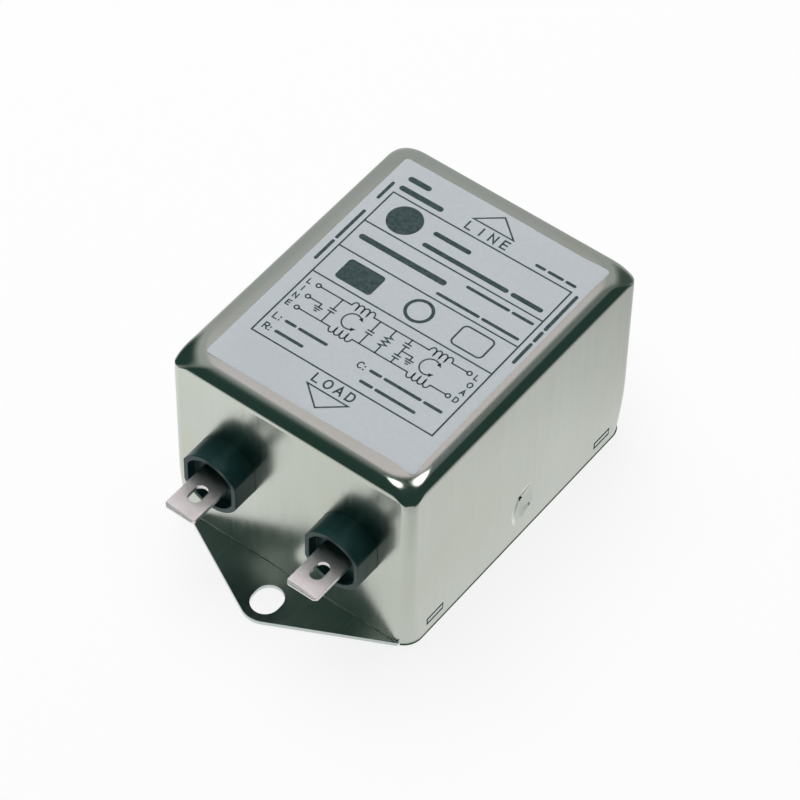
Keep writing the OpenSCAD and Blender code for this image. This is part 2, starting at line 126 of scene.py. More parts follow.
# How far each ring of the film lies inside its edge, and how far it has sunk there, in mm.
FILM_ROLL = ((0.0, 0.05), (0.05, 0.012), (0.10, 0.0))
FILM_INSETS = (0.4, 0.8, 1.2, 1.7, 2.3, 3.0, 4.2, 5.5)
INK_HEIGHT = 0.012 * MM
INK_ROOT = -0.004 * MM
INK_MARGIN = 0.001 * MM
FILM_HEIGHT = label_high.z - INK_HEIGHT - CAN_TOP
PRINT_SHIFT = 0.9 * MM
# Strokes, in mm: the frame's rules, the schematic, and three weights of lettering.
RULE = 0.31
FINE = 0.28
BOLD, MIDDLING, LIGHT = 0.34, 0.27, 0.25
SMALL_BAR = 0.62
# Places on the label, in mm from its middle: across, then along towards the LINE end.
FRAME = (-18.4, 18.4, -19.0, 19.45)
ROWS = (11.4, 4.4, -2.8)
RAIL_TOP, RAIL_MIDDLE, RAIL_LOW = -4.9, -7.8, -10.8
STAGES = (-6.3, 9.6)
COIL_HALF, COIL_RADIUS, COIL_LOOPS = 2.2, 0.52, 4
COIL_REACH = COIL_HALF + COIL_RADIUS
RAIL_END = 15.0
TERMINAL, TERMINAL_RADIUS = 15.45, 0.42
CORE_RADII, CORE_START, CORE_SWEEP = (1.65, 1.75), 50, 260
CAPACITORS = ((-10.4, RAIL_TOP, RAIL_LOW), (-2.6, RAIL_TOP, RAIL_LOW),
              (3.9, RAIL_TOP, RAIL_MIDDLE), (3.9, RAIL_MIDDLE, RAIL_LOW))
RESISTOR = (0.6, RAIL_TOP, RAIL_LOW)
# Where each earth line leaves, and where its sign stands.
EARTHS = ((-RAIL_END, -12.6), (4.0, 6.1))
END_ARROWS = (((-4.15, 22.85), (4.15, 22.85), (0.0, 26.25)),
              ((-4.15, -22.45), (0.0, -25.85), (4.15, -22.45)))
# Plain shapes where marks would be: the middle, the half sizes or radius, and the corner.
DISC = ((-12.95, 15.4), 3.25)
PLATE = ((-11.2, 0.8), (3.7, 2.45), 0.7)
RING = ((1.0, 0.8), 2.35)
PANEL = ((11.9, 0.8), (3.1, 2.3), 0.9)
# Lettering: the text, the middle of its first letter, its base, height, pitch and stroke.
LETTERING = (
    ("LINE", -3.65, 20.3, 1.72, 2.42, BOLD),
    ("LOAD", -3.5, -21.6, 1.75, 2.28, BOLD),
    ("L:", -16.95, -14.9, 1.3, 0.85, MIDDLING),
    ("R:", -16.95, -17.6, 1.3, 0.85, MIDDLING),
    ("C:", 0.4, -14.9, 1.3, 0.85, MIDDLING),
)
# The same words down both sides of the schematic, one letter under another.
SIDE_WORDS = (("LINE", -17.2), ("LOAD", 17.0))
SIDE_TOP, SIDE_STEP, SIDE_HEIGHT = -5.5, 1.93, 1.05
# Bars that stand for text: left, right, middle, height, and the share of each word.
TEXT_BARS = (
    (-18.3, -13.6, 23.65, 1.15, (1,)),
    (-18.3, -9.2, 21.1, 1.15, (1,)),
    (10.1, 18.4, 20.8, SMALL_BAR, (2, 3, 2)),
    (-7.5, 0.2, 16.2, 0.95, (1,)),
    (-7.5, 17.1, 13.1, 0.95, (11, 4)),
    (-17.0, 1.0, 8.2, 1.2, (1,)),
    (3.9, 17.6, 9.9, SMALL_BAR, (8, 4)),
    (0.8, 17.6, 5.75, SMALL_BAR, (7, 6)),
    (-15.2, -6.4, -14.25, SMALL_BAR, (2, 5)),
    (-15.2, -9.3, -16.95, SMALL_BAR, (1,)),
    (2.2, 16.9, -14.25, SMALL_BAR, (2, 6, 3)),
    (2.2, 13.5, -16.95, SMALL_BAR, (2, 6)),
)
UPRIGHT_BARS = (
    (-0.6, 13.3, 19.7, SMALL_BAR, (4, 6)),
    (16.6, 21.4, 19.7, SMALL_BAR, (1,)),
    (1.1, 19.4, -19.7, SMALL_BAR, (4, 2, 7)),
)

# ---------------- the studio and the camera
# The white sheet that the metal mirrors: its middle, and where it starts and stops fading.
PAPER_MIDDLE = (-0.025, -0.015, 0.0)
PAPER_FULL, PAPER_END = 0.068, 0.142
PAPER_LEFT, PAPER_RIGHT = 0.97, 0.81
PAPER_SHADE = 0.80
PAPER_GLOW = 0.86
FLOOR_HALF = 6.0
FLOOR_DROP = 0.05 * MM
ROOM_GREY = (0.455, 0.468, 0.475)
ROOM_DARK = (0.027, 0.058, 0.050)
ROOM_DUSK = (0.075, 0.105, 0.095)
ROOM_DIM = (0.18, 0.20, 0.20)
PANEL_WARM = (0.80, 0.715, 0.76)
LAMP_WHITE = (2.4, 2.4, 2.4)
# Patches of the room, each laid over those before it: direction, where it starts, where it is full.
ROOM_PATCHES = (
    ((0.75, -0.62, 0.10), -0.40, 0.14, ROOM_DARK),
    ((-0.96, -0.12, 0.26), 0.78, 0.93, ROOM_DARK),
    ((0.28, 0.93, 0.20), 0.86, 0.97, ROOM_DUSK),
    ((0.38, 0.53, 0.76), 0.945, 0.995, ROOM_DIM),
    ((-0.25, 0.38, 0.89), 0.94, 0.99, PANEL_WARM),
    ((-0.07, -0.215, 0.973), 0.984, 0.991, LAMP_WHITE),
    ((0.28, 0.24, 0.930), 0.974, 0.985, LAMP_WHITE),
)
SOFTBOX_PLACE = (-0.25, 0.15, 0.9)
SOFTBOX_AIM = (0.0, 0.0, 0.03)
SOFTBOX_SIZE = 0.7
SOFTBOX_POWER = 8.2
VIEW_AZIMUTH = math.radians(36.589)
VIEW_ELEVATION = math.radians(50.391)
VIEW_ROLL = math.radians(1.238)
VIEW_DISTANCE = 0.62508
VIEW_TARGET = Vector((-1.869, 1.103, 15.12)) * MM
VIEW_LENS = 165.49


# ---------------- shader building
def join(tree, node, inputs):
    """Joins a node's inputs to other nodes' outputs, or sets them to constants."""
    for name, value in inputs.items():
        if isinstance(value, bpy.types.NodeSocket):
            tree.links.new(value, node.inputs[name])
        else:
            node.inputs[name].default_value = value


def add(tree, kind, inputs=None, **settings):
    """A new node with its settings and its inputs."""
    node = tree.nodes.new(kind)
    for name, value in settings.items():
        setattr(node, name, value)
    join(tree, node, inputs or {})
    return node


def empty_tree(owner):
    """The node tree of a new material or world, with nothing in it."""
    owner.use_nodes = True
    owner.node_tree.nodes.clear()
    return owner.node_tree


def new_finish(name):
    """A material with a surface shader joined to its output."""
    finish = bpy.data.materials.new(name)
    tree = empty_tree(finish)
    shader = add(tree, "ShaderNodeBsdfPrincipled")
    add(tree, "ShaderNodeOutputMaterial", {"Surface": shader.outputs["BSDF"]})
    return finish, tree, shader


def object_pattern(tree, stretch=(1.0, 1.0, 1.0)):
    """Object coordinates, stretched along each axis."""
    place = add(tree, "ShaderNodeTexCoord").outputs["Object"]
    return add(tree, "ShaderNodeMapping", {"Scale": stretch, "Vector": place}).outputs["Vector"]


def noise(tree, where, scale, detail=3.0, roughness=0.5, distortion=0.0):
    return add(tree, "ShaderNodeTexNoise", {
        "Vector": where, "Scale": scale, "Detail": detail, "Roughness": roughness,
        "Distortion": distortion}).outputs["Fac"]


def spread(tree, value, low, high, to_low=0.0, to_high=1.0, ease="LINEAR"):
    """Maps a value from one range to another, held at its ends."""
    return add(tree, "ShaderNodeMapRange", {
        "Value": value, "From Min": low, "From Max": high, "To Min": to_low, "To Max": to_high},
        interpolation_type=ease).outputs["Result"]


def blend_colours(tree, factor, first, second):
    node = add(tree, "ShaderNodeMix", {"Factor": factor}, data_type="RGBA")
    for name, colour in (("A", first), ("B", second)):
        target = [i for i, s in enumerate(node.inputs) if s.name == name and s.type == "RGBA"][0]
        given = colour if isinstance(colour, bpy.types.NodeSocket) else (*colour, 1.0)
        join(tree, node, {target: given})
    return [s for s in node.outputs if s.type == "RGBA"][0]


def add_bump(tree, shader, height, strength, distance, under=None):
    bump = add(tree, "ShaderNodeBump", {"Strength": strength, "Distance": distance, "Height": height})
    if under is not None:
        join(tree, bump, {"Normal": under})
    join(tree, shader, {"Normal": bump.outputs["Normal"]})
    return bump.outputs["Normal"]


def vector_step(tree, operation, vector, other=None, result="Vector"):
    """One vector operation; some take a second value, and some give a number."""
    given = {0: vector} if other is None else {0: vector, 1: other}
    return add(tree, "ShaderNodeVectorMath", given, operation=operation).outputs[result]


def calc(tree, operation, *values):
    """One step of arithmetic on numbers or sockets."""
    return add(tree, "ShaderNodeMath", dict(enumerate(values)), operation=operation).outputs["Value"]


def split(tree, vector):
    """The X, Y and Z of a vector."""
    return add(tree, "ShaderNodeSeparateXYZ", {"Vector": vector}).outputs


def joined(tree, **axes):
    """A vector from up to three sockets."""
    return add(tree, "ShaderNodeCombineXYZ", axes).outputs["Vector"]


def painted_stake_highlight(tree, colour):
    """A painted highlight: a paler arc along one side of each stake, standing in for light caught by the
    stake's flank.
    """
    shown = colour
    for side in (-1, 1):
        middle = (side * CAN_HALF_X, DIMPLE_ALONG + side * STAKE_HIGHLIGHT_SHIFT[0] * MM,
                  DIMPLE_LEVEL + STAKE_HIGHLIGHT_SHIFT[1] * MM)
        moved = vector_step(tree, "SUBTRACT", object_pattern(tree), middle)
        squeezed = vector_step(tree, "MULTIPLY", moved, (1.0, 1.0, 0.8))
        reach = vector_step(tree, "LENGTH", squeezed, result="Value")
        aim = (0.0, side * STAKE_HIGHLIGHT_AIM[0], STAKE_HIGHLIGHT_AIM[1])
        towards = vector_step(tree, "DOT_PRODUCT", squeezed, aim, "Value")
        outer = spread(tree, reach, *(edge * MM for edge in STAKE_HIGHLIGHT_OUTER), 1.0, 0.0)
        inner = spread(tree, reach, *(edge * MM for edge in STAKE_HIGHLIGHT_INNER))
        part = spread(tree, towards, *(edge * MM for edge in STAKE_HIGHLIGHT_END))
        arc = calc(tree, "MULTIPLY", calc(tree, "MULTIPLY", outer, inner), part)
        shown = blend_colours(tree, arc, shown, STAKE_HIGHLIGHT_COLOUR)
    return shown


def plated_sheet(name, pale, dull, gloss, gloss_above, drawn, with_stake_highlight=False):
    """Bright plated steel: soft clouds of tint, faint drawing lines and slight waviness."""
    finish, tree, shader = new_finish(name)
    clouds = noise(tree, object_pattern(tree, (1.0, 1.0, 0.7)), 38.0, 3.0, 0.5, 0.6)
    patches = noise(tree, object_pattern(tree, (1.0, 0.7, 1.3)), 95.0, 2.0, 0.5)
    lines = noise(tree, object_pattern(tree, drawn), 1100.0, 2.0, 0.6)
    tint = blend_colours(tree, spread(tree, clouds, 0.33, 0.68), pale, dull)
    patched = blend_colours(tree, spread(tree, patches, 0.42, 0.75, 0.0, 0.45), tint,
                            (0.57, 0.615, 0.585))
    fine = blend_colours(tree, spread(tree, lines, 0.45, 0.8, 0.0, 0.18), patched, dull)
    # Painted highlight: a paler arc beside each stake, laid into the base colour.
    if with_stake_highlight:
        fine = painted_stake_highlight(tree, fine)
    grain = spread(tree, lines, 0.3, 0.7, -0.02, 0.03)
    height = split(tree, object_pattern(tree))["Z"]
    level = spread(tree, height, SHOULDER - 0.5 * MM, SHOULDER + 1.0 * MM, gloss, gloss_above)
    rough = calc(tree, "ADD", grain, level)
    join(tree, shader, {"Base Color": fine, "Metallic": 1.0, "Roughness": rough})
    waves = noise(tree, object_pattern(tree), 60.0, 1.0, 0.4)
    wavy = add_bump(tree, shader, waves, 0.12, 0.12 * MM)
    add_bump(tree, shader, lines, 0.05, 0.01 * MM, under=wavy)
    return finish


def moulded_black(name, base, worn, gloss):
    """Black moulded plastic with faint flow marks."""
    finish, tree, shader = new_finish(name)
    flow = noise(tree, object_pattern(tree), 260.0, 4.0, 0.6)
    grain = noise(tree, object_pattern(tree), 2600.0, 2.0, 0.5)
    tint = blend_colours(tree, spread(tree, flow, 0.4, 0.75), base, worn)
    rough = spread(tree, flow, 0.3, 0.7, gloss - 0.06, gloss + 0.08)
    join(tree, shader, {"Base Color": tint, "Roughness": rough, "Specular IOR Level": 0.5,
                        "Specular Tint": (0.62, 1.0, 0.95, 1.0)})
    add_bump(tree, shader, grain, 0.15, 0.03 * MM)
    return finish


def tinned_strip(name):
    """Stamped terminal strip: tin over brass, rolled along its length."""
    finish, tree, shader = new_finish(name)
    rolled = noise(tree, object_pattern(tree, (1.0, 0.06, 1.0)), 2200.0, 3.0, 0.6)
    smudge = noise(tree, object_pattern(tree), 320.0, 3.0, 0.5)
    tint = blend_colours(tree, spread(tree, smudge, 0.35, 0.7),
                         (0.90, 0.875, 0.86), (0.80, 0.765, 0.75))
    rough = spread(tree, rolled, 0.3, 0.7, 0.21, 0.26)
    join(tree, shader, {"Base Color": tint, "Metallic": 0.82, "Roughness": rough})
    add_bump(tree, shader, rolled, 0.04, 0.02 * MM)
    return finish


def label_stock(name):
    """Blue-grey film: a faint fibre mottle under a satin face, with painted shade along its steep rolled
    edge.
    """
    finish, tree, shader = new_finish(name)
    mottle = noise(tree, object_pattern(tree), 900.0, 4.0, 0.65)
    clouds = noise(tree, object_pattern(tree), 45.0, 2.0, 0.5)
    stock = blend_colours(tree, spread(tree, mottle, 0.3, 0.7),
                          (0.425, 0.448, 0.470), (0.455, 0.480, 0.500))
    aged = blend_colours(tree, spread(tree, clouds, 0.45, 0.8, 0.0, 0.5), stock,
                         (0.405, 0.425, 0.445))
    # Painted shade: faces that tilt away from the top turn a dark brown, standing in for a shadow line
    # along the film's edge.
    facing = split(tree, add(tree, "ShaderNodeNewGeometry").outputs["Normal"])["Z"]
    painted_edge_shade = blend_colours(tree, spread(tree, facing, 0.55, 0.93), (0.20, 0.17, 0.16), aged)
    rough = spread(tree, mottle, 0.3, 0.7, 0.42, 0.52)
    join(tree, shader, {"Base Color": painted_edge_shade, "Roughness": rough, "Specular IOR Level": 0.3})
    add_bump(tree, shader, mottle, 0.08, 0.02 * MM)
    return finish


def printing_ink(name):
    """Dark green-grey ink, thinner in places."""
    finish, tree, shader = new_finish(name)
    cover = noise(tree, object_pattern(tree), 1500.0, 3.0, 0.6)
    ink = blend_colours(tree, spread(tree, cover, 0.35, 0.8),
                        (0.022, 0.042, 0.044), (0.060, 0.088, 0.090))
    join(tree, shader, {"Base Color": ink, "Roughness": 0.5, "Specular IOR Level": 0.3})
    return finish


def plain_moulding(name, first, second, gloss, scale=300.0, metallic=0.0):
    """A moulded, dipped or cast part of two close shades."""
    finish, tree, shader = new_finish(name)
    shade = noise(tree, object_pattern(tree), scale, 4.0, 0.6)
    tint = blend_colours(tree, spread(tree, shade, 0.3, 0.7), first, second)
    rough = spread(tree, shade, 0.3, 0.7, gloss - 0.05, gloss + 0.08)
    join(tree, shader, {"Base Color": tint, "Roughness": rough, "Metallic": metallic})
    add_bump(tree, shader, shade, 0.15, 0.05 * MM)
    return finish


FINISHES = {
    # The can's finish carries the painted highlight beside its stakes.
    "plated_can": plated_sheet("plated_can", (0.605, 0.640, 0.580), (0.565, 0.595, 0.520),
                               0.22, 0.12, (1.0, 1.0, 0.05), with_stake_highlight=True),
    "plated_base": plated_sheet("plated_base", (0.580, 0.650, 0.620), (0.530, 0.600, 0.575),
                                0.22, 0.22, (1.0, 0.06, 1.0)),
    "label_film": label_stock("label_film"),
    "label_ink": printing_ink("label_ink"),
    "black_moulding": moulded_black("black_moulding", (0.007, 0.028, 0.027), (0.013, 0.040, 0.039), 0.34),
    "tinned_tab": tinned_strip("tinned_tab"),
}
# Two shades, the gloss, and where they differ the size of the mottle and the share of metal.
PLAIN_FINISHES = {
    "cut_edge": ((0.78, 0.80, 0.75), (0.34, 0.36, 0.34), 0.45, 420.0, 0.3),
    "core_case": ((0.03, 0.03, 0.032), (0.05, 0.05, 0.05), 0.5),
    "winding_copper": ((0.62, 0.22, 0.08), (0.72, 0.30, 0.12), 0.3, 900.0, 0.9),
    "divider_board": ((0.62, 0.56, 0.42), (0.70, 0.64, 0.50), 0.7),
    "film_capacitor": ((0.75, 0.45, 0.04), (0.80, 0.52, 0.06), 0.35),
    "ceramic_capacitor": ((0.04, 0.16, 0.45), (0.05, 0.20, 0.52), 0.3),
    "resistor_body": ((0.55, 0.40, 0.22), (0.62, 0.46, 0.28), 0.35),
    "lead_copper": ((0.70, 0.32, 0.14), (0.78, 0.40, 0.20), 0.28, 1200.0, 1.0),
    "potting_resin": ((0.012, 0.012, 0.012), (0.025, 0.025, 0.025), 0.4),
}
FINISHES.update({name: plain_moulding(name, *values) for name, values in PLAIN_FINISHES.items()})


# ---------------- mesh helpers
def linked(name, content):
    """A new object in the scene."""
    made = bpy.data.objects.new(name, content)
    bpy.context.scene.collection.objects.link(made)
    return made


def mesh_of(form, name):
    """A mesh from a form, which is used up."""
    made = bpy.data.meshes.new(name)
    form.to_mesh(made)
    form.free()
    return made


def settled(holder, step):
    """The plain mesh that a modifier makes of its object; the modifier is removed."""
    bpy.context.view_layer.update()
    made = bpy.data.meshes.new_from_object(holder.evaluated_get(bpy.context.evaluated_depsgraph_get()))
    holder.modifiers.remove(step)
    return made


def even_shading(piece, weight, keep_sharp):
    """Lets the large faces set how a piece is shaded."""
    even = piece.modifiers.new("even_shading", "WEIGHTED_NORMAL")
    even.keep_sharp = keep_sharp
    even.weight = weight


def to_piece(name, mesh_data, finish):
    """A finished piece with its finish, riding on the part."""
    piece = linked(name, mesh_data)
    mesh_data.materials.clear()
    mesh_data.materials.append(finish)
    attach(piece, "root")
    return piece


def dressed_copy(node, slot, edge_width, angle=28.0):
    """A welded copy of a CAD node with its sharp edges softened, shown in the node's place."""
    mesh_data = frame["nodes"][node].data.copy()
    mesh_data.name = node + "_form"
    form = bmesh.new()
    form.from_mesh(mesh_data)
    bmesh.ops.remove_doubles(form, verts=form.verts, dist=0.002 * MM)
    bmesh.ops.dissolve_limit(form, angle_limit=math.radians(0.5), verts=form.verts, edges=form.edges)
    for face in form.faces:
        face.smooth = True
    form.to_mesh(mesh_data)
    form.free()
    piece = to_piece(node + "_finished", mesh_data, FINISHES[slot])
    soften = piece.modifiers.new("softened_edges", "BEVEL")
    soften.width = edge_width
    soften.segments = 2
    soften.limit_method = "ANGLE"
    soften.angle_limit = math.radians(angle)
    soften.harden_normals = False
    even_shading(piece, 80, False)
    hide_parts(node)
    return piece


# ---------------- geometry rules
def new_rule(name, inputs):
    """A Geometry Nodes tree with named inputs after its geometry, and what those inputs give."""
    tree = bpy.data.node_groups.new(name, "GeometryNodeTree")
    for way in ("INPUT", "OUTPUT"):
        tree.interface.new_socket("Geometry", in_out=way, socket_type="NodeSocketGeometry")
    for label, kind in inputs.items():
        tree.interface.new_socket(label, in_out="INPUT", socket_type=kind)
    return tree, tree.nodes.new("NodeGroupInput").outputs


def end_rule(tree, given, geometry):
    """The last steps of each rule: its copies are made real and get their finish."""
    real = add(tree, "GeometryNodeRealizeInstances", {"Geometry": geometry}).outputs["Geometry"]
    coated = add(tree, "GeometryNodeSetMaterial", {"Geometry": real, "Material": given["Finish"]})
    add(tree, "NodeGroupOutput", {"Geometry": coated.outputs["Geometry"]})
    return tree


def named(tree, name):
    """The number that each point holds under a name."""
    held = add(tree, "GeometryNodeInputNamedAttribute", {"Name": name}, data_type="FLOAT")
    return held.outputs["Attribute"]


def copies_rule():
    """Copies of one block, one at each point, turned about the upright by the point's own turn."""
    tree, given = new_rule("block_at_each_place", {
        "Block": "NodeSocketObject", "Finish": "NodeSocketMaterial"})
    block = add(tree, "GeometryNodeObjectInfo", {"Object": given["Block"], "As Instance": True})
    turn = add(tree, "FunctionNodeEulerToRotation", {"Euler": joined(tree, Z=named(tree, "turn"))})
    copies = add(tree, "GeometryNodeInstanceOnPoints", {
        "Points": given["Geometry"], "Instance": block.outputs["Geometry"],
        "Rotation": turn.outputs["Rotation"]})
    return end_rule(tree, given, copies.outputs["Instances"])


# What each point of the can's profile holds.
PROFILE_NUMBERS = ("inwards", "corner", "height", "crowned")


def crown_drop(tree, given, across, along):
    """How far the roof has sunk at a spot: it falls away a little towards its rounded edge."""
    do = partial(calc, tree)
    past = [do("ADD", do("SUBTRACT", do("ABSOLUTE", spot), given[half]), given["Crown Edge"])
            for spot, half in ((across, "Half Width"), (along, "Half Length"))]
    squares = [do("POWER", do("MAXIMUM", reach, 0.0), 2.0) for reach in past]
    in_corner = do("SQRT", do("ADD", *squares))
    in_middle = do("MINIMUM", do("MAXIMUM", *past), 0.0)
    outside = do("SUBTRACT", do("ADD", in_corner, in_middle), given["Crown Corner"])
    share = do("ADD", do("DIVIDE", outside, given["Crown Reach"]), 1.0)
    held = do("MINIMUM", do("MAXIMUM", share, 0.0), 1.0)
    return do("MULTIPLY", do("POWER", held, 3.0), given["Crown Fall"])


def sweep_rule():
    """A profile swept round the can: each of its points gives one ring, a rounded oblong."""
    lengths = ("Half Width", "Half Length", "Crown Edge", "Crown Corner", "Crown Reach", "Crown Fall")
    tree, given = new_rule("profile_round_the_can", {
        **{name: "NodeSocketFloat" for name in lengths},
        "Corner Steps": "NodeSocketInt", "Finish": "NodeSocketMaterial"})
    do = partial(calc, tree)
    profile = given["Geometry"]
    rings = add(tree, "GeometryNodeAttributeDomainSize", {"Geometry": profile}).outputs["Point Count"]
    per_corner = do("ADD", given["Corner Steps"], 1.0)
    around = do("MULTIPLY", per_corner, 4.0)
    tube = add(tree, "GeometryNodeMeshCylinder", {
        "Vertices": around, "Side Segments": do("SUBTRACT", rings, 1.0)}, fill_type="NONE")
    index = add(tree, "GeometryNodeInputIndex").outputs["Index"]
    ring = do("FLOOR", do("DIVIDE", index, around))
    spot = do("MODULO", index, around)

    # Which corner the spot belongs to, and how far round that corner it lies.
    quarter = do("FLOOR", do("DIVIDE", spot, per_corner))
    bend = do("DIVIDE", do("MODULO", spot, per_corner), given["Corner Steps"])
    angle = do("MULTIPLY", do("ADD", quarter, bend), math.pi / 2)
    facing = do("MULTIPLY_ADD", quarter, math.pi / 2, math.pi / 4)

    inwards, corner, height, crowned = (
        add(tree, "GeometryNodeSampleIndex", {
            "Geometry": profile, "Value": named(tree, name), "Index": ring}).outputs["Value"]
        for name in PROFILE_NUMBERS)
    place = []
    for half, turn in (("Half Width", "COSINE"), ("Half Length", "SINE")):
        reach = do("SUBTRACT", do("SUBTRACT", given[half], inwards), corner)
        centre = do("MULTIPLY", do("SIGN", do(turn, facing)), reach)
        place.append(do("MULTIPLY_ADD", corner, do(turn, angle), centre))
    sunk = do("MULTIPLY", crown_drop(tree, given, *place), crowned)
    place.append(do("SUBTRACT", height, sunk))
    shaped = add(tree, "GeometryNodeSetPosition", {
        "Geometry": tube.outputs["Mesh"], "Position": joined(tree, **dict(zip("XYZ", place)))})
    return end_rule(tree, given, shaped.outputs["Geometry"])


def laying_rule():
    """A flat form laid on a skin: each point keeps its own height above the skin under it."""
    tree, given = new_rule("laid_on_skin", {
        "Skin": "NodeSocketObject", "Start Height": "NodeSocketFloat", "Finish": "NodeSocketMaterial"})
    skin = add(tree, "GeometryNodeObjectInfo", {"Object": given["Skin"]}).outputs["Geometry"]
    own = split(tree, add(tree, "GeometryNodeInputPosition").outputs["Position"])
    drop = add(tree, "GeometryNodeRaycast", {
        "Target Geometry": skin, "Ray Direction": (0.0, 0.0, -1.0),
        "Source Position": joined(tree, X=own["X"], Y=own["Y"], Z=given["Start Height"])})
    under = split(tree, drop.outputs["Hit Position"])["Z"]
    laid = add(tree, "GeometryNodeSetPosition", {
        "Geometry": given["Geometry"], "Offset": joined(tree, Z=under)})
    return end_rule(tree, given, laid.outputs["Geometry"])


def run_rule(tree, start, settings):
    """Runs a rule on a mesh, with each named input set, and hands back a plain mesh."""
    holder = linked(tree.name, start)
    step = holder.modifiers.new(tree.name, "NODES")
    step.node_group = tree
    for socket in tree.interface.items_tree:
        if socket.in_out == "INPUT" and socket.name in settings:
            step[socket.identifier] = settings[socket.name]
    made = settled(holder, step)
    bpy.data.objects.remove(holder)
    bpy.data.meshes.remove(start)
    return made


COPIES = copies_rule()
LAYING = laying_rule()
SWEEP = sweep_rule()


def points_with(values):
    """A mesh of loose points, each holding its number under every name."""
    count = len(next(iter(values.values())))
    points = bpy.data.meshes.new("points")
    points.from_pydata([(0.0, 0.0, 0.0)] * count, [], [])
    for name, numbers in values.items():
        points.attributes.new(name, "FLOAT", "POINT").data.foreach_set("value", numbers)
    return points


def add_copies(form, block, places):
    """Adds copies of a block to a form, at places given as (x, y, z, turn about the upright)."""
    points = points_with({"turn": [place[3] for place in places]})
    for point, place in zip(points.vertices, places):
        point.co = place[:3]
    punch = to_object("one_block", block)
    copies = run_rule(COPIES, points, {"Block": punch, "Finish": FINISHES["plated_can"]})
    form.from_mesh(copies)
    bpy.data.meshes.remove(copies)
    bpy.data.objects.remove(punch)


def four_places(across, along, level):
    return [(x * across, y * along, level, 0.0) for x in (-1, 1) for y in (-1, 1)]


# ---------------- the drawn can
def rounded_outline(half_x, half_y, radius, steps):
    """A rounded rectangle, anticlockwise from its +X side."""
    points = []
    for quarter, (sx, sy) in enumerate(((1, 1), (-1, 1), (-1, -1), (1, -1))):
        for step in range(steps + 1):
            angle = math.pi / 2 * (quarter + step / steps)
            points.append((
                sx * (half_x - radius) + radius * math.cos(angle),
                sy * (half_y - radius) + radius * math.sin(angle),
            ))
    return points


def bridge(form, lower, upper):
    """Side faces between two rings that run anticlockwise, the upper one above or inside."""
    count = len(lower)
    for i in range(count):
        j = (i + 1) % count
        form.faces.new((lower[i], lower[j], upper[j], upper[i]))


def closed_faces(form, rings):
    """The faces of a closed block: a band between each two rings, and a face on both ends."""
    for lower, upper in zip(rings, rings[1:]):
        bridge(form, lower, upper)
    form.faces.new(rings[-1])
    form.faces.new(list(reversed(rings[0])))


def corner_growth(angle):
    """The plan radius of the corners along the roof edge: it opens out towards the roof."""
    share = math.sin(min(max(angle, 0.0), math.pi / 2))
    return CORNER_SHOULDER + (CORNER_ROOF - CORNER_SHOULDER) * share ** CORNER_OPENING


def can_profile(inset):
    """One skin of the can, from its rim to the middle of its roof.

    Each point gives how far its ring lies inside the can's sides, the ring's corner radius, its
    height, and whether it sinks with the crown of the roof.
    """
    low = can_low.z
    profile = [(RIM_FLARE * flare, CORNER_RIM, low + height, 0.0) for height, flare in RIM_STEPS]

    neck_low = SHOULDER - NECK
    wall_steps = 12
    for step in range(1, wall_steps + 1):
        share = step / wall_steps
        ease = max(1 - share * SWELL_SPAN, 0.0) ** SWELL_CURVE
        profile.append((RIM_FLARE * ease, CORNER_WALL + (CORNER_RIM - CORNER_WALL) * ease,
                        low + RIM_BAND + (neck_low - low - RIM_BAND) * share, 0.0))

    neck_steps = 4
    for step in range(1, neck_steps + 1):
        share = step / neck_steps
        profile.append((0.0, CORNER_WALL + (CORNER_SHOULDER - CORNER_WALL) * share * share,
                        neck_low + NECK * share, 0.0))

    start = math.atan(CROWN_SLOPE)
    round_steps = 20
    for step in range(1, round_steps + 1):
        angle = (math.pi / 2 - start) * step / round_steps
        sideways = ROOF_ROUND * (1 - math.cos(angle)) / (1 - math.sin(start))
        rise = (ROOF_ROUND - CROWN_FALL - inset) * math.sin(angle) / math.cos(start)
        profile.append((sideways * (1 - inset / ROOF_ROUND), corner_growth(angle), SHOULDER + rise, 0.0))

    for inwards in ROOF_INSETS:
        profile.append((ROOF_ROUND + inwards * MM - inset, max(CORNER_ROOF - 0.5 * inwards * MM, 0.9 * MM),
                        CAN_TOP - inset, 1.0))
    return [(inwards + inset, max(corner - inset, SMALLEST_CORNER), height, crowned)
            for inwards, corner, height, crowned in profile]


def add_skin(form, inset):
    """A skin of the can swept from its profile, its roof closed. Gives the ring at its rim."""
    profile = can_profile(inset)
    swept = run_rule(SWEEP, points_with(dict(zip(PROFILE_NUMBERS, zip(*profile)))), {
        "Half Width": CAN_HALF_X, "Half Length": CAN_HALF_Y, "Corner Steps": CORNER_STEPS,
        "Crown Edge": ROOF_ROUND + CORNER_ROOF, "Crown Corner": CORNER_ROOF, "Crown Reach": CROWN_REACH,
        "Crown Fall": CROWN_FALL, "Finish": FINISHES["plated_can"]})
    form.from_mesh(swept)
    bpy.data.meshes.remove(swept)
    form.verts.ensure_lookup_table()
    around = 4 * (CORNER_STEPS + 1)
    skin = form.verts[-around * len(profile):]
    form.faces.new(skin[-around:])
    return skin[:around]


def can_block(name, inset):
    """A solid block as large as one skin of the can."""
    form = bmesh.new()
    rim = add_skin(form, inset)
    form.faces.new(rim[::-1])
    return to_object(name, form)


def prism(form, outline, start, end, place):
    """A closed block with a flat outline, run from start to end by a placing function."""
    first = [form.verts.new(place(u, v, start)) for u, v in outline]
    last = [form.verts.new(place(u, v, end)) for u, v in outline]
    bridge(form, first, last)
    form.faces.new(last)
    form.faces.new(list(reversed(first)))


def box_block(form, low, high):
    outline = [(low[0], low[1]), (high[0], low[1]), (high[0], high[1]), (low[0], high[1])]
    prism(form, outline, low[2], high[2], lambda u, v, w: (u, v, w))


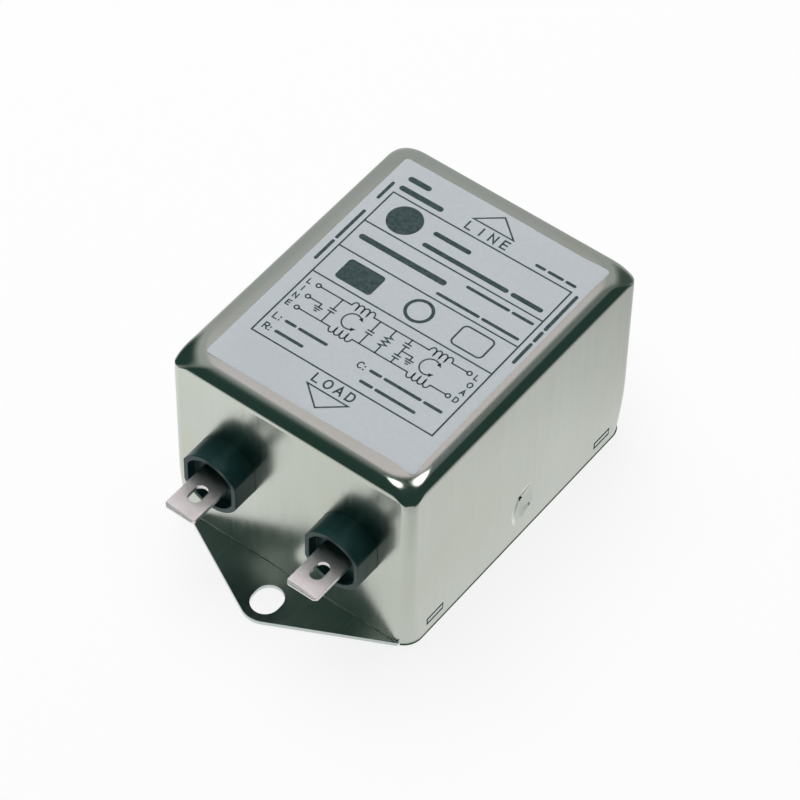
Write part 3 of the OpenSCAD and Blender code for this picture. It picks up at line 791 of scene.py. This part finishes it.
def stake_block(skin):
    """The punch's form: a soft shoulder at the wall, then slanted flanks down to a small flat."""
    form = bmesh.new()
    rings = []
    for size, depth in STAKE_FLANK:
        spots = [STAKE_TIP + (Vector(corner) - STAKE_TIP) * size for corner in STAKE_OUTLINE]
        rings.append([form.verts.new((CAN_HALF_X - skin - depth * MM, y * MM, z * MM)) for y, z in spots])
    closed_faces(form, rings)
    return form


def flatted_outline(radius, flat, steps=10):
    """A circle with two upright flats, as (across, up)."""
    half = math.acos(flat / radius)
    points = []
    for middle in (math.pi / 2, -math.pi / 2):
        for step in range(2 * steps + 1):
            angle = middle + (math.pi / 2 - half) * (step / steps - 1)
            points.append((radius * math.cos(angle), radius * math.sin(angle)))
    return points


def plain_object(name, form):
    """An object of its own from a form, which is used up."""
    return linked(name, mesh_of(form, name))


def to_object(name, form):
    """The same, welded and with its faces turned outwards."""
    bmesh.ops.remove_doubles(form, verts=form.verts, dist=0.0005 * MM)
    bmesh.ops.recalc_face_normals(form, faces=form.faces)
    return plain_object(name, form)


def carve(body, tool, operation):
    """Cuts or joins with a tool block, and leaves a plain mesh."""
    step = body.modifiers.new("carve", "BOOLEAN")
    step.operation = operation
    step.solver = "EXACT"
    step.object = tool
    shaped = settled(body, step)
    old = body.data
    body.data = shaped
    bpy.data.meshes.remove(old)
    bpy.data.objects.remove(tool)


def slot_block(half_size):
    """A plain block about its own middle, from its three half sizes."""
    form = bmesh.new()
    box_block(form, [-half for half in half_size], half_size)
    return form


def can_punches():
    """Every block that is pushed through the can, none of them touching another."""
    tools = bmesh.new()
    through = 2 * CAN_WALL
    add_copies(tools, stake_block(0.0), STAKE_PLACES)

    length, height = LATCH_SLOT
    add_copies(tools, slot_block((through, length / 2, height / 2)),
               four_places(CAN_HALF_X, LATCH_ALONG, LATCH_LEVEL))

    hole = bmesh.new()
    prism(hole, flatted_outline(HOLE_RADIUS, HOLE_FLAT), -through, through, lambda u, v, w: (u, w, v))
    add_copies(tools, hole, four_places(BUSHING_ACROSS, CAN_HALF_Y, BUSHING_LEVEL))

    half, height = EAR_NOTCH
    notch = bmesh.new()
    box_block(notch, (-half, -NOTCH_DEPTH, -MM), (half, NOTCH_DEPTH, height))
    add_copies(tools, notch, [(0.0, end * CAN_HALF_Y, 0.0, 0.0) for end in (-1, 1)])

    width, height = EARTH_SLOT
    add_copies(tools, slot_block((width / 2, through, height / 2)), [(0.0, CAN_HALF_Y, BUSHING_LEVEL, 0.0)])
    return to_object("can_punches", tools)


def stake_tears():
    """The two points at the bottom of each stake where the sheet has torn through."""
    torn = bmesh.new()
    for tear in STAKE_TEARS:
        prism(torn, [(u * MM, v * MM) for u, v in tear], -0.8 * MM, 3.5 * CAN_WALL,
              lambda u, v, w: (CAN_HALF_X - w, u, v))
    tools = bmesh.new()
    add_copies(tools, torn, STAKE_PLACES)
    return to_object("stake_tears", tools)


def shaded_form(body, name, crease):
    """Takes the mesh out of a carved body, smooth but for edges sharper than the crease."""
    mesh_data = body.data
    bpy.data.objects.remove(body)
    mesh_data.name = name
    mesh_data.shade_smooth()
    mesh_data.set_sharp_from_angle(angle=math.radians(crease))
    return mesh_data


def build_can():
    """The shell as it comes off the press, with its holes, slots and stakes."""
    shell = bmesh.new()
    outer, inner = (add_skin(shell, inset) for inset in (0.0, CAN_WALL))
    bridge(shell, inner, outer)
    body = to_object("drawn_can", shell)

    bumps = bmesh.new()
    add_copies(bumps, stake_block(CAN_WALL), STAKE_PLACES)
    carve(body, to_object("stake_bumps", bumps), "UNION")
    carve(body, can_punches(), "DIFFERENCE")
    carve(body, stake_tears(), "DIFFERENCE")

    mesh_data = shaded_form(body, "drawn_can_form", 32)
    piece = to_piece("drawn_can", mesh_data, FINISHES["plated_can"])
    even_shading(piece, 90, True)
    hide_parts("can")
    return piece


def build_cut_edges():
    """The bare, slightly burred edge of the sheet where the can ends over each ear."""
    half, height = EAR_NOTCH
    burr = bmesh.new()
    prism(burr, [(u * MM, v * MM) for u, v in BURR], -half, half,
          lambda u, v, w: (-w, CAN_HALF_Y + u, height + v))
    form = bmesh.new()
    add_copies(form, burr, [(0.0, 0.0, 0.0, 0.0), (0.0, 0.0, 0.0, math.pi)])
    return to_piece("can_cut_edges", mesh_of(form, "cut_edge_form"), FINISHES["cut_edge"])


def build_resin():
    """The resin block, held inside the drawn form of the can."""
    form = bmesh.new()
    form.from_mesh(frame["nodes"]["potting"].data)
    bmesh.ops.remove_doubles(form, verts=form.verts, dist=0.001 * MM)
    body = plain_object("resin_block", form)
    carve(body, can_block("can_room", CAN_WALL + RESIN_PLAY), "INTERSECT")
    mesh_data = shaded_form(body, "resin_form", 30)
    piece = to_piece("resin_fitted", mesh_data, FINISHES["potting_resin"])
    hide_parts("potting")
    return piece


# ---------------- the label and its print
def label_spot(u, v, shift):
    """Where a spot of the label lies in the part's frame, u across and v along."""
    return (
        shift + u * math.cos(LABEL_SKEW) - v * math.sin(LABEL_SKEW),
        u * math.sin(LABEL_SKEW) + v * math.cos(LABEL_SKEW),
    )


def laid_on_can(form, name, finish):
    """Lays a flat form on the can's outer skin, and hands back its mesh."""
    laid = run_rule(LAYING, mesh_of(form, name + "_flat"), {
        "Skin": SKIN, "Start Height": CAN_TOP + MM, "Finish": finish})
    laid.name = name
    return laid


def build_label():
    """The film laid over the roof, with its edge rolled over a little all round."""
    form = bmesh.new()
    rings = []
    thickness = label_high.z - label_low.z
    edge = [(0.0, thickness)] + [(inset * MM, sink * MM) for inset, sink in FILM_ROLL]
    for inset, sink in edge + [(inset * MM, 0.0) for inset in FILM_INSETS]:
        outline = rounded_outline(LABEL_WIDTH / 2 - inset, LABEL_LENGTH / 2 - inset,
                                  max(LABEL_CORNER - 0.4 * inset, 0.3 * MM), 8)
        rings.append([form.verts.new((*label_spot(u, v, LABEL_SHIFT), FILM_HEIGHT - sink))
                      for u, v in outline])
    closed_faces(form, rings)
    mesh_data = laid_on_can(form, "rating_label_form", FINISHES["label_film"])
    mesh_data.shade_smooth()
    mesh_data.set_sharp_from_angle(angle=math.radians(40))
    piece = to_piece("rating_label_film", mesh_data, FINISHES["label_film"])
    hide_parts("rating_label")
    return piece


def letter_bow(left, right, low, high, start, sweep, steps=14):
    """Points on an upright oval, from a start angle through a sweep, in degrees."""
    middle, rise = (left + right) / 2, (low + high) / 2
    points = []
    for step in range(steps + 1):
        angle = math.radians(start + sweep * step / steps)
        points.append((middle + (right - left) / 2 * math.cos(angle),
                       rise + (high - low) / 2 * math.sin(angle)))
    return points


# Each letter: its width and its strokes, on a body one unit high.
LETTERS = {
    "L": (0.58, [[(0.0, 1.0), (0.0, 0.0), (0.58, 0.0)]]),
    "I": (0.0, [[(0.0, 0.0), (0.0, 1.0)]]),
    "N": (0.68, [[(0.0, 0.0), (0.0, 1.0), (0.68, 0.0), (0.68, 1.0)]]),
    "E": (0.62, [[(0.62, 0.0), (0.0, 0.0), (0.0, 1.0), (0.62, 1.0)], [(0.07, 0.52), (0.57, 0.52)]]),
    "A": (0.74, [[(0.0, 0.0), (0.37, 1.0), (0.74, 0.0)], [(0.16, 0.33), (0.58, 0.33)]]),
    "D": (0.68, [[(0.0, 0.0), (0.0, 1.0)] + letter_bow(-0.08, 0.68, 0.0, 1.0, 68, -136) + [(0.0, 0.0)]]),
    "O": (0.78, [letter_bow(0.0, 0.78, 0.0, 1.0, 90, 360, 22)]),
    "R": (0.62, [[(0.0, 0.0), (0.0, 1.0)] + letter_bow(0.02, 0.62, 0.48, 1.0, 70, -160) + [(0.07, 0.48)],
                 [(0.34, 0.42), (0.64, 0.0)]]),
    "C": (0.70, [letter_bow(0.0, 0.76, 0.0, 1.0, 48, 264, 18)]),
    ":": (0.0, [[(0.0, 0.02), (0.0, 0.14)], [(0.0, 0.56), (0.0, 0.68)]]),
}


class Print:
    """Ink laid on the label: strokes, filled shapes and a few plain letters."""

    def __init__(self):
        self.form = bmesh.new()

    def spot(self, u, v, raised):
        height = FILM_HEIGHT + (INK_HEIGHT - INK_MARGIN if raised else INK_ROOT)
        return self.form.verts.new((*label_spot(u * MM, v * MM, PRINT_SHIFT), height))

    def patch(self, points):
        """A flat patch of ink inside an outline that runs anticlockwise."""
        low = [self.spot(u, v, False) for u, v in points]
        high = [self.spot(u, v, True) for u, v in points]
        self.form.faces.new(high)
        self.form.faces.new(list(reversed(low)))
        bridge(self.form, low, high)

    def stroke(self, points, width, closed=False):
        """One band of ink along a bent line, mitred at its bends."""
        spots = [Vector(p) for p in points]
        count = len(spots)
        left, right = [], []
        for i in range(count):
            before = spots[i] - spots[i - 1] if i or closed else None
            after = spots[(i + 1) % count] - spots[i] if i < count - 1 or closed else None
            a = (before or after).normalized()
            b = (after or before).normalized()
            normal = Vector((-a.y - b.y, a.x + b.x))
            normal.normalize()
            reach = width / 2 / max(normal.dot(Vector((-a.y, a.x))), 0.35)
            push = Vector((0.0, 0.0))
            if before is None:
                push = -b * width * 0.35
            elif after is None:
                push = a * width * 0.35
            left.append(spots[i] + normal * reach + push)
            right.append(spots[i] - normal * reach + push)
        rows = []
        for side, raised in ((right, True), (left, True), (left, False), (right, False)):
            rows.append([self.spot(p.x, p.y, raised) for p in side])
        legs = count if closed else count - 1
        for i in range(legs):
            j = (i + 1) % count
            for k in range(4):
                first, second = rows[k], rows[(k + 1) % 4]
                self.form.faces.new((first[i], first[j], second[j], second[i]))
        if not closed:
            for i in (0, count - 1):
                ends = [row[i] for row in rows]
                self.form.faces.new(ends if i == 0 else list(reversed(ends)))

    def oval(self, centre, radius_u, radius_v, width, start=0.0, sweep=360.0, steps=28):
        points = letter_bow(centre[0] - radius_u, centre[0] + radius_u,
                            centre[1] - radius_v, centre[1] + radius_v, start, sweep, steps)
        if sweep == 360.0:
            self.stroke(points[:-1], width, closed=True)
        else:
            self.stroke(points, width)

    def bar(self, left, right, middle, height, upright):
        """A word-long bar with round ends; an upright one runs along v."""
        radius = height / 2
        points = []
        for centre, start in ((right - radius, -90), (left + radius, 90)):
            points += letter_bow(centre - radius, centre + radius, middle - radius, middle + radius,
                                 start, 180, 8)
        if upright:
            points = [(-v, u) for u, v in points]
        self.patch(points)

    def words(self, left, right, middle, height, lengths, upright=False):
        """A line of text that isn't spelled out: one bar for each word."""
        gap = height * 0.62
        room = right - left - gap * (len(lengths) - 1)
        start = left
        for share in lengths:
            end = start + room * share / sum(lengths)
            self.bar(start, end, middle, height, upright)
            start = end + gap

    def lettering(self, text, left, base, height, pitch, width):
        """Plain letters, each set in the middle of its own step."""
        for place, letter in enumerate(text):
            wide, strokes = LETTERS[letter]
            start = left + pitch * place - wide * height / 2
            for stroke in strokes:
                spots = [(start + u * height, base + v * height) for u, v in stroke]
                closed = len(spots) > 3 and math.dist(spots[0], spots[-1]) < 0.01 * height
                self.stroke(spots[:-1] if closed else spots, width, closed)

    def finish(self):
        bmesh.ops.recalc_face_normals(self.form, faces=self.form.faces)
        mesh_data = laid_on_can(self.form, "label_print_form", FINISHES["label_ink"])
        return to_piece("label_print", mesh_data, FINISHES["label_ink"])


def draw_coil(ink, middle, rail, up):
    """A choke winding: a row of loops on its rail."""
    pitch = 2 * (COIL_HALF - COIL_RADIUS) / (COIL_LOOPS - 1)
    wide = COIL_RADIUS * 1.15
    points = [(middle - COIL_REACH, rail)]
    for loop in range(COIL_LOOPS):
        centre = middle - COIL_HALF + COIL_RADIUS + pitch * loop
        for step in range(9):
            angle = math.radians(180 - 22.5 * step)
            points.append((centre + wide * math.cos(angle), rail + up * 0.95 * math.sin(angle)))
        if loop < COIL_LOOPS - 1:
            for step in range(1, 4):
                angle = math.radians(-45 * step)
                points.append((centre + pitch / 2 + (wide - pitch / 2) * math.cos(angle),
                               rail + up * 0.55 * math.sin(angle)))
    points.append((middle + COIL_REACH, rail))
    ink.stroke(points, FINE)


def draw_capacitor(ink, across, high, low):
    """Two plates on an upright line between two heights."""
    middle, gap, plate = (high + low) / 2, 0.3, 0.62
    for end, step in ((high, gap), (low, -gap)):
        ink.stroke([(across, end), (across, middle + step)], FINE)
        ink.stroke([(across - plate, middle + step), (across + plate, middle + step)], FINE)


def draw_resistor(ink, across, high, low):
    middle = (high + low) / 2
    points = [(across, high), (across, middle + 1.3)]
    for step in range(6):
        points.append((across + (0.6 if step % 2 == 0 else -0.6), middle + 1.1 - 0.44 * step))
    points += [(across, middle - 1.3), (across, low)]
    ink.stroke(points, FINE)


def draw_earth(ink, across, top):
    ink.stroke([(across, top), (across, top - 0.75)], FINE)
    for step, half in enumerate((0.75, 0.48, 0.22)):
        level = top - 0.85 - 0.45 * step
        ink.stroke([(across - half, level), (across + half, level)], FINE)


def draw_schematic(ink):
    """The circuit of any such filter: two chokes, capacitors, a resistor and earth."""
    breaks = ((-RAIL_END, STAGES[0] - COIL_REACH), (STAGES[0] + COIL_REACH, STAGES[1] - COIL_REACH),
              (STAGES[1] + COIL_REACH, RAIL_END))
    terminals = [(end * TERMINAL, rail) for rail in (RAIL_TOP, RAIL_LOW) for end in (-1, 1)]
    for centre in terminals + [(-TERMINAL, RAIL_MIDDLE)]:
        ink.oval(centre, TERMINAL_RADIUS, TERMINAL_RADIUS, FINE, steps=16)
    for rail, up in ((RAIL_TOP, 1), (RAIL_LOW, -1)):
        for start, end in breaks:
            ink.stroke([(start, rail), (end, rail)], FINE)
        for middle in STAGES:
            draw_coil(ink, middle, rail, up)
    for middle in STAGES:
        ink.oval((middle - 0.1, RAIL_MIDDLE), *CORE_RADII, FINE, CORE_START, CORE_SWEEP, 22)
        for flip in (1, -1):
            tip = (middle + 1.5, RAIL_MIDDLE + flip * 0.95)
            heel = (middle + 0.55, RAIL_MIDDLE + flip * 1.1)
            point = (middle + 0.95, RAIL_MIDDLE + flip * 1.85)
            ink.patch([point, heel, tip] if flip == 1 else [tip, heel, point])
    for start, sign in EARTHS:
        ink.stroke([(start, RAIL_MIDDLE), (sign, RAIL_MIDDLE)], FINE)
        draw_earth(ink, sign, RAIL_MIDDLE)
    for capacitor in CAPACITORS:
        draw_capacitor(ink, *capacitor)
    draw_resistor(ink, *RESISTOR)
    for text, across in SIDE_WORDS:
        for place, letter in enumerate(text):
            ink.lettering(letter, across, SIDE_TOP - SIDE_STEP * place, SIDE_HEIGHT, SIDE_HEIGHT, LIGHT)


def plate_outline(middle, half, corner):
    return [(u + middle[0], v + middle[1]) for u, v in rounded_outline(*half, corner, 5)]


def build_print():
    """Frame, rows, plain shapes, bars for text, the schematic and the two end arrows."""
    ink = Print()
    left, right, front, back = FRAME
    ink.stroke([(left, front), (right, front), (right, back), (left, back)], RULE, closed=True)
    for row in ROWS:
        ink.stroke([(left + 0.1, row), (right - 0.1, row)], RULE)
    for arrow in END_ARROWS:
        ink.stroke(arrow, RULE, closed=True)
    for line in LETTERING:
        ink.lettering(*line)
    for line in TEXT_BARS:
        ink.words(*line)
    for line in UPRIGHT_BARS:
        ink.words(*line, upright=True)

    (across, along), radius = DISC
    ink.patch(letter_bow(across - radius, across + radius, along - radius, along + radius, 0, 350, 35))
    ink.patch(plate_outline(*PLATE))
    centre, radius = RING
    ink.oval(centre, radius, radius, 2 * RULE)
    ink.stroke(plate_outline(*PANEL), BOLD, closed=True)
    draw_schematic(ink)
    return ink.finish()


# ---------------- studio
def ray_share(tree, kinds):
    """1 for the kinds of ray named, 0 for the others."""
    path = add(tree, "ShaderNodeLightPath")
    total = path.outputs[kinds[0]]
    for kind in kinds[1:]:
        total = calc(tree, "MAXIMUM", total, path.outputs[kind])
    return total


def mix_shaders(tree, factor, first, second):
    return add(tree, "ShaderNodeMixShader", {"Fac": factor, 1: first, 2: second}).outputs["Shader"]


def glow(tree, strength):
    return add(tree, "ShaderNodeEmission", {"Color": WHITE, "Strength": strength}).outputs["Emission"]


def build_floor():
    """A pale floor that keeps the shadow; the metal sees it white as far as the sheet of paper goes."""
    form = bmesh.new()
    corners = ((-1, -1), (1, -1), (1, 1), (-1, 1))
    form.faces.new([form.verts.new((x * FLOOR_HALF, y * FLOOR_HALF, -FLOOR_DROP)) for x, y in corners])
    floor = plain_object("floor_sheet", form)
    finish = bpy.data.materials.new("pale_floor")
    tree = empty_tree(finish)
    shade = (PAPER_SHADE, PAPER_SHADE, PAPER_SHADE, 1.0)
    paper = add(tree, "ShaderNodeBsdfDiffuse", {"Color": shade}).outputs["BSDF"]
    place = add(tree, "ShaderNodeTexCoord").outputs["Object"]
    reach = vector_step(tree, "DISTANCE", place, PAPER_MIDDLE, "Value")
    edge = spread(tree, reach, PAPER_FULL, PAPER_END)
    level = spread(tree, split(tree, place)["X"], -0.05, 0.03, PAPER_LEFT, PAPER_RIGHT)
    beyond = add(tree, "ShaderNodeBsdfTransparent").outputs["BSDF"]
    mirrored = mix_shaders(tree, edge, glow(tree, level), beyond)
    seen = mix_shaders(tree, PAPER_GLOW, paper, glow(tree, 1.0))
    matter = mix_shaders(tree, ray_share(tree, ("Is Glossy Ray",)), paper, mirrored)
    whole = mix_shaders(tree, ray_share(tree, ("Is Camera Ray", "Is Transmission Ray")), matter, seen)
    add(tree, "ShaderNodeOutputMaterial", {"Surface": whole})
    floor.data.materials.append(finish)


def direction_share(tree, direction, towards, low, high):
    """1 where the sky lies near a direction, easing to 0 away from it."""
    near = vector_step(tree, "DOT_PRODUCT", direction, Vector(towards).normalized(), "Value")
    return spread(tree, near, low, high, ease="SMOOTHSTEP")


def build_sky():
    """The studio room: a grey side, a dark side and a warm panel overhead."""
    world = bpy.data.worlds.new("studio_room")
    bpy.context.scene.world = world
    tree = empty_tree(world)
    direction = add(tree, "ShaderNodeTexCoord").outputs["Generated"]
    colour = ROOM_GREY
    for towards, low, high, shade in ROOM_PATCHES:
        colour = blend_colours(tree, direction_share(tree, direction, towards, low, high), colour, shade)
    room, plain = (add(tree, "ShaderNodeBackground", {"Color": shade}).outputs["Background"]
                   for shade in (colour, WHITE))
    backdrop = mix_shaders(tree, ray_share(tree, ("Is Camera Ray",)), room, plain)
    add(tree, "ShaderNodeOutputWorld", {"Surface": backdrop})


def add_softbox(name, place, aim, size, power):
    """A soft panel that lights the part but isn't mirrored in it."""
    lamp = bpy.data.lights.new(name, "AREA")
    lamp.shape = "SQUARE"
    lamp.size = size
    lamp.energy = power
    panel = linked(name, lamp)
    panel.location = place
    panel.rotation_euler = (Vector(aim) - Vector(place)).to_track_quat("-Z", "Y").to_euler()
    panel.visible_glossy = False
    return panel


def build_camera():
    away = Vector((
        math.sin(VIEW_AZIMUTH) * math.cos(VIEW_ELEVATION),
        -math.cos(VIEW_AZIMUTH) * math.cos(VIEW_ELEVATION),
        math.sin(VIEW_ELEVATION),
    ))
    side = (-away).cross(Vector((0, 0, 1))).normalized()
    upward = side.cross(-away).normalized()
    right = side * math.cos(VIEW_ROLL) + upward * math.sin(VIEW_ROLL)
    top = -side * math.sin(VIEW_ROLL) + upward * math.cos(VIEW_ROLL)
    lens = bpy.data.cameras.new("studio_camera")
    lens.sensor_width = 36.0
    lens.lens = VIEW_LENS
    lens.clip_start = 0.01
    camera = linked("studio_camera", lens)
    turn = Matrix((right, top, away)).transposed().to_4x4()
    camera.matrix_world = Matrix.Translation(VIEW_TARGET + away * VIEW_DISTANCE) @ turn
    bpy.context.scene.camera = camera


# ---------------- assembly
for entry in frame["record"]["subparts"]:
    node = frame["nodes"][entry["node"]]
    node.data.materials.clear()
    node.data.materials.append(FINISHES[entry["material_slot"]])

SKIN = can_block("outer_skin", 0.0)
build_can()
build_cut_edges()
build_resin()
dressed_copy("base_plate", "plated_base", PLATE_EDGE)
for end in ("load", "line"):
    for side in ("left", "right"):
        dressed_copy(f"{end}_bushing_{side}", "black_moulding", BUSHING_EDGE)
        dressed_copy(f"{end}_tab_{side}", "tinned_tab", TAB_EDGE)
dressed_copy("earth_tab", "tinned_tab", TAB_EDGE)
build_label()
build_print()
bpy.data.objects.remove(SKIN)

build_floor()
build_sky()
add_softbox("overhead_panel", SOFTBOX_PLACE, SOFTBOX_AIM, SOFTBOX_SIZE, SOFTBOX_POWER)
build_camera()
bpy.context.scene.view_settings.view_transform = "Standard"
